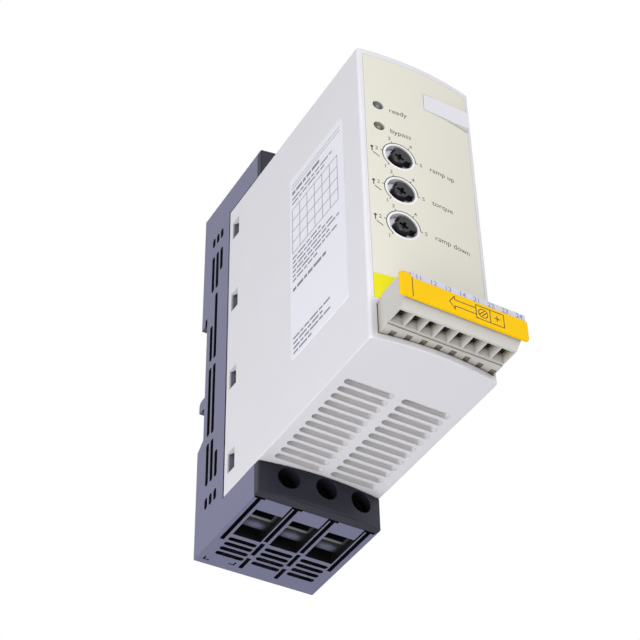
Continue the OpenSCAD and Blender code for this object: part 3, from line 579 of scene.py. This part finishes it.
bpy.ops.mesh.select_all(action="DESELECT")
bpy.ops.mesh.select_non_manifold()
bpy.ops.mesh.fill_holes(sides=WIRE_SIDES)
bpy.ops.mesh.select_all(action="SELECT")
bpy.ops.mesh.normals_make_consistent(inside=False)
bpy.ops.object.mode_set(mode="OBJECT")
spring.location = (middle.x, middle.y, low.z + WIRE / 2)
bpy.ops.object.transform_apply(location=True, rotation=True, scale=True)
bpy.ops.object.shade_smooth_by_angle(angle=WIRE_SMOOTH)
spring.data.materials.append(spring_steel)
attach(spring, "chassis")
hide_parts("din_spring")
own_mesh(spring)
print("spring wound from", len(spring.data.vertices), "points")

# %% [markdown]
# ## Print
# The marks on the films and the strip are screen-printed ink, a few hundredths of a millimetre
# thick. Each is drawn flat: a bar, an arc spun from a short line, or lettering turned from a font
# into a mesh. Joined, they are laid on their piece, by a Shrinkwrap modifier where it is curved, and
# a Solidify modifier gives them a thickness, so they stay sharp in any close-up.

# %% Print helpers
INK = 0.03  # thickness of a print, in mm
STACK = 0.0004  # each mark of a print lies this far over the last, in mm
IN_FRONT = 0.5  # marks start this far in front of a curved piece, in mm
INK_WELD = 1e-7  # less than the step from mark to mark, in metres
ARC_STEP, FEWEST_STEPS = 6, 12  # an arc has a step for each 6 degrees, and at least 12
FACING_LEFT = -math.pi / 2


def spot(x, y, height):
    """A point given across, from the back plane and above the bottom of the base, in mm."""
    return Vector((x, y, height - RAIL_HEIGHT)) * MM


def bar(x, y, height, length, width, turn=0.0, facing=0.0):
    """A flat bar about a point, turned in its own plane; it faces the front unless told otherwise."""
    bpy.ops.object.select_all(action="DESELECT")
    bpy.ops.mesh.primitive_plane_add(size=1, location=spot(x, y, height),
                                     rotation=(math.pi / 2, -turn, facing))
    bpy.context.active_object.scale = (length * MM, width * MM, 1)
    bpy.ops.object.transform_apply(location=True, rotation=True, scale=True)
    return bpy.context.active_object


def arc(x, y, height, radius, width, start, end):
    """A flat arc spun from a line; the angles are in degrees, counter-clockwise from the right."""
    first = math.radians(start)
    line = bar(x + radius * math.cos(first), y, height + radius * math.sin(first), width, 0, first)
    bpy.ops.object.mode_set(mode="EDIT")
    bpy.ops.mesh.select_all(action="SELECT")
    bpy.ops.mesh.remove_doubles(threshold=WELD)
    bpy.ops.mesh.spin(steps=max(FEWEST_STEPS, int(abs(end - start) / ARC_STEP)),
                      angle=math.radians(end - start), center=spot(x, y, height), axis=(0, 1, 0))
    bpy.ops.object.mode_set(mode="OBJECT")
    return line


def lettering(text, x, y, height, size, align="CENTER"):
    """Words that face the front, with capitals about 0.7 of the size, in mm."""
    bpy.ops.object.select_all(action="DESELECT")
    bpy.ops.object.text_add(location=spot(x, y, height), rotation=(math.pi / 2, 0, 0))
    words = bpy.context.active_object.data
    words.body, words.size = text, size * MM
    words.align_x, words.align_y, words.resolution_u = align, "CENTER", 4
    bpy.ops.object.convert(target="MESH")
    bpy.ops.object.transform_apply(location=True, rotation=True, scale=True)
    return bpy.context.active_object


def print_on(node, name, marks, ink, curved=False):
    """Joins marks, each a hair over the last, into one print that lies on a solid and moves with it."""
    bpy.ops.object.select_all(action="DESELECT")
    for order, mark in enumerate(marks):
        mark.location = mark.data.polygons[0].normal * (order * STACK * MM)
        mark.select_set(True)
    bpy.context.view_layer.objects.active = marks[0]
    bpy.ops.object.join()
    layer = bpy.context.active_object
    layer.name = layer.data.name = name
    bpy.ops.object.mode_set(mode="EDIT")
    bpy.ops.mesh.select_all(action="SELECT")
    bpy.ops.mesh.remove_doubles(threshold=INK_WELD)
    bpy.ops.object.mode_set(mode="OBJECT")
    if curved:
        laid = layer.modifiers.new("laid on the curve", "SHRINKWRAP")
        laid.target, laid.wrap_method, laid.use_project_y = frame["nodes"][node], "PROJECT", True
        bpy.ops.object.modifier_apply(modifier=laid.name)
    thick = layer.modifiers.new("thickness of the ink", "SOLIDIFY")
    thick.thickness, thick.offset = INK * MM, 0
    bpy.ops.object.modifier_apply(modifier=thick.name)
    layer.data.materials.clear()
    layer.data.materials.append(ink)
    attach(layer, BODY_OF[node])
    print(name, "has", len(marks), "marks and", len(layer.data.polygons), "faces")


dark_ink = film("dark grey screen ink", "#2C2D33", 0.5)
white_ink = film("white screen ink", "#F2F1F2", 0.5)
grey_ink = film("grey laser print", "#7D7D88", 0.5)
brown_ink = film("brown black screen ink", "#3A2A0C", 0.5)
blue_ink = film("blue grey screen ink", "#6E76A6", 0.5)
engraving = film("black laser mark", "#17171C", 0.6)
print("six inks, each", INK, "mm thick")

# %% [markdown]
# ## Print on the front film
# Each dial has a scale: an arc open at the lower right, five short ticks with numbers, and a white
# ring round the opening. A small sign beside it, an arrow over a slope, stands for a ramp, and plain
# words name the dial. All sizes are in mm.

# %% Front film
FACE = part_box("front_label")[0].y / MM - IN_FRONT
DIAL_X = (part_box("dial_body_1")[0].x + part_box("dial_body_1")[1].x) / 2 / MM
RING_RADIUS, RING_WIDTH = 5.4, 0.7
SCALE_START, SCALE_END, SCALE_RADIUS, SCALE_WIDTH = 230, -2, 5.95, 0.32
TICKS, TICK_LONG, TICK_WIDTH = 5, 0.9, 0.26
NUMBER_OUT, NUMBER_SIZE = 2.1, 2.2
SIGN_LEFT, SIGN_DROP, SIGN_LINE = 9.6, 0.6, 0.36
STEM, HEAD, HEAD_UP = 2.4, 0.9, 2.0
SLOPE, SLOPE_TURN, SLOPE_RIGHT, SLOPE_DOWN = 2.6, -math.pi / 5, 1.4, 1.2
CAPTIONS = {1: "ramp up", 2: "torque", 3: "ramp down"}
CAPTION_X, CAPTION_SIZE, CAPTION_DROP = 2.0, 3.0, 0.2
LAMP_CAPTIONS = {"power_led": "ready", "run_led": "bypass"}
LAMP_GAP, LAMP_CAPTION_DROP = 2.0, 0.9


def height_of(node):
    """The height of the middle of a solid above the bottom of the base, in mm."""
    low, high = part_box(node)
    return (low.z + high.z) / 2 / MM + RAIL_HEIGHT


def dial_scale(height):
    """The arc, the ticks and the numbers round a dial at a height."""
    scale = [arc(DIAL_X, FACE, height, SCALE_RADIUS, SCALE_WIDTH, SCALE_START, SCALE_END)]
    for number in range(TICKS):
        angle = math.radians(SCALE_START + (SCALE_END - SCALE_START) * number / (TICKS - 1))
        out = Vector((math.cos(angle), math.sin(angle)))
        tick, place = out * (SCALE_RADIUS + TICK_LONG / 2), out * (SCALE_RADIUS + NUMBER_OUT)
        scale.append(bar(DIAL_X + tick.x, FACE, height + tick.y, TICK_LONG, TICK_WIDTH, angle))
        scale.append(lettering(str(number + 1), DIAL_X + place.x, FACE, height + place.y, NUMBER_SIZE))
    return scale


def ramp_sign(x, height):
    """An arrow that points up, over a slope."""
    return [bar(x, FACE, height + STEM / 2, SIGN_LINE, STEM),
            bar(x, FACE, height + HEAD_UP, HEAD, HEAD, math.pi / 4),
            bar(x + SLOPE_RIGHT, FACE, height - SLOPE_DOWN, SLOPE, SIGN_LINE, SLOPE_TURN)]


marks, rings = [], []
for i, caption in CAPTIONS.items():
    height = height_of(f"dial_body_{i}")
    rings.append(arc(DIAL_X, FACE, height, RING_RADIUS, RING_WIDTH, 0, 360))
    marks += dial_scale(height) + ramp_sign(DIAL_X - SIGN_LEFT, height - SIGN_DROP)
    marks.append(lettering(caption, CAPTION_X, FACE, height - CAPTION_DROP, CAPTION_SIZE, "LEFT"))
for node, caption in LAMP_CAPTIONS.items():
    marks.append(lettering(caption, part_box(node)[1].x / MM + LAMP_GAP, FACE,
                           height_of(node) - LAMP_CAPTION_DROP, CAPTION_SIZE, "LEFT"))
print_on("front_label", "front_print", marks, dark_ink, curved=True)
print_on("front_label", "dial_rings", rings, white_ink, curved=True)

# %% [markdown]
# ## Print on the rating film
# The side film carries a table of ratings and small rows of words. Here the table is a bare grid,
# and grey dashes stand for the words, at the same size and spacing.

# %% Rating film
low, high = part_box("rating_label")
SIDE, FILM_BACK, FILM_FRONT = low.x / MM, high.y / MM, low.y / MM
FILM_TOP, FILM_TALL = high.z / MM + RAIL_HEIGHT, (high.z - low.z) / MM
FILM_LONG = FILM_BACK - FILM_FRONT


def side_slab(start, end, drop, thick):
    """A line on the side film from start to end, as shares of its length, at a share of its height."""
    return bar(SIDE, FILM_BACK - (start + end) / 2 * FILM_LONG, FILM_TOP - drop * FILM_TALL,
               (end - start) * FILM_LONG, thick, facing=FACING_LEFT)


WORD_LENGTHS, WORD_GAP, SHORTEST = (0.11, 0.05, 0.08, 0.14, 0.06), 0.02, 0.03


def side_words(start, end, drop, thick):
    """Dashes like a row of words between two shares of the film's length."""
    row, k = [], int(drop * 100)  # the height picks the row's first word
    while start < end - SHORTEST:
        stop = min(start + WORD_LENGTHS[k % len(WORD_LENGTHS)], end)
        row.append(side_slab(start, stop, drop, thick))
        start, k = stop + WORD_GAP, k + 1
    return row


MARGIN = 0.05
RULES, RULE_END, RULE_WIDTH, GRID_WIDTH = (0.045, 0.065), 0.95, 0.25, 0.3
GRID = {"start": MARGIN, "end": 0.89, "top": 0.19, "bottom": 0.44, "columns": 6, "rows": 4}
marks = [side_slab(MARGIN, RULE_END, drop, RULE_WIDTH) for drop in RULES]
for row in range(GRID["rows"] + 1):
    drop = GRID["top"] + (GRID["bottom"] - GRID["top"]) * row / GRID["rows"]
    marks.append(side_slab(GRID["start"], GRID["end"], drop, GRID_WIDTH))
for column in range(GRID["columns"] + 1):
    place = GRID["start"] + (GRID["end"] - GRID["start"]) * column / GRID["columns"]
    half = GRID_WIDTH / 2 / FILM_LONG
    marks.append(side_slab(place - half, place + half, (GRID["top"] + GRID["bottom"]) / 2,
                           (GRID["bottom"] - GRID["top"]) * FILM_TALL))
TITLE, SUBTITLE, SMALL = 1.5, 1.3, 0.75
WORD_ROWS = (  # the share of the height and of the length, and the thickness in mm
    (0.095, 0.62, TITLE), (0.13, 0.8, SMALL), (0.155, 0.66, SMALL),
    (0.47, 0.6, SMALL), (0.495, 0.78, SMALL), (0.52, 0.9, SMALL),
    (0.545, 0.72, SMALL), (0.57, 0.85, SMALL), (0.595, 0.5, SMALL), (0.645, 0.66, SUBTITLE),
    (0.9, 0.7, SMALL), (0.925, 0.62, SMALL), (0.95, 0.74, SMALL), (0.975, 0.4, SMALL))
for drop, end, thick in WORD_ROWS:
    marks += side_words(MARGIN, end, drop, thick)
print_on("rating_label", "rating_print", marks, grey_ink)

# %% [markdown]
# ## Print on the plug's strip and legend
# The yellow strip shows which way a wire goes in: an arrow, a screw head and a plus sign in boxes.
# The pale legend above it numbers the eight ways.

# %% Marker strip and legend
low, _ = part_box("marker_strip")
STRIP, STRIP_LOW = low.y / MM, low.z / MM + RAIL_HEIGHT
legend_low, legend_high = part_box("legend_insert")
LEGEND, LEGEND_MID = legend_low.y / MM, height_of("legend_insert")
STRIP_MID, LINE = (STRIP_LOW + legend_low.z / MM + RAIL_HEIGHT) / 2, 0.3


def stroke(start, end):
    """A printed line on the strip between two points, each across and up from its middle."""
    (x0, z0), (x1, z1) = start, end
    return bar((x0 + x1) / 2, STRIP, STRIP_MID + (z0 + z1) / 2, math.hypot(x1 - x0, z1 - z0) + LINE, LINE,
               math.atan2(z1 - z0, x1 - x0))


def outline(points):
    """Strokes round a closed outline."""
    return [stroke(a, b) for a, b in zip(points, points[1:] + points[:1])]


BOX, SHAFT, DIVIDER = 2.5, 1.2, 3.6  # half heights
ARROW_TIP, ARROW_NECK, SCREW_X, BOX_END = -5.2, -3.4, 6.6, 14.0
ARROW_END, BOX_START = SCREW_X - BOX, SCREW_X + BOX
HEAD_RADIUS, SLOT, SLOT_SIDES, PLUS = 1.6, 0.9, (-0.3, 0.3), 0.9
PLUS_X = (BOX_START + BOX_END) / 2
marks = [stroke((legend_low.x / MM, -DIVIDER), (legend_low.x / MM, DIVIDER))]
marks += outline([(ARROW_TIP, 0), (ARROW_NECK, BOX), (ARROW_NECK, SHAFT), (ARROW_END, SHAFT),
                  (ARROW_END, -SHAFT), (ARROW_NECK, -SHAFT), (ARROW_NECK, -BOX)])
marks += outline([(ARROW_END, BOX), (BOX_START, BOX), (BOX_START, -BOX), (ARROW_END, -BOX)])
marks += outline([(BOX_START, BOX), (BOX_END, BOX), (BOX_END, -BOX), (BOX_START, -BOX)])
marks.append(arc(SCREW_X, STRIP, STRIP_MID, HEAD_RADIUS, LINE, 0, 360))
marks += [stroke((SCREW_X - SLOT + side, -SLOT - side), (SCREW_X + SLOT + side, SLOT - side))
          for side in SLOT_SIDES]
marks += [stroke((PLUS_X - PLUS, 0), (PLUS_X + PLUS, 0)), stroke((PLUS_X, -PLUS), (PLUS_X, PLUS))]
print_on("marker_strip", "strip_print", marks, brown_ink)

WAY_NUMBERS, WAY_SHARE, WAY_NUMBER_SIZE = (11, 12, 13, 14, 21, 22, 23, 24), 0.55, 2.6
way_pitch = (legend_high.x - legend_low.x) / MM / len(WAY_NUMBERS)
marks = [lettering(str(number), legend_low.x / MM + way_pitch * (k + WAY_SHARE), LEGEND, LEGEND_MID,
                   WAY_NUMBER_SIZE) for k, number in enumerate(WAY_NUMBERS)]
print_on("legend_insert", "legend_print", marks, blue_ink)

# %% [markdown]
# ## Marks under the terminal holes
# The power terminals are numbered in order, odd at the line end and even at the load end. A laser
# darkens the plastic, so the numbers are black on the cover, whose dark grey is painted shade, and
# hardly show.

# %% Terminal numbers
TERMINAL_INSET, TERMINAL_SIZE = 1.75, 2.2
for end, node in (("load", "terminal_cover_bottom"), ("line", "terminal_cover_top")):
    low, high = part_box(node)
    marks = []
    for i in PHASES:
        screw_low, screw_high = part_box(f"{end}_screw_{i}")
        number = 2 * i if end == "load" else 2 * i - 1
        height = low.z / MM + TERMINAL_INSET if end == "load" else high.z / MM - TERMINAL_INSET
        marks.append(lettering(str(number), (screw_low.x + screw_high.x) / 2 / MM, low.y / MM - IN_FRONT,
                               height + RAIL_HEIGHT, TERMINAL_SIZE))
    print_on(node, f"{end}_numbers", marks, engraving, curved=True)

# %% [markdown]
# ## Measure
# Rounding and print may change the overall size by hundredths of a millimetre and no more. So the box
# of all shown pieces is measured, and printed in millimetres.

# %% Measure and finish
low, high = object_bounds()
print("visual size", [round(v / MM, 1) for v in high - low], "mm")
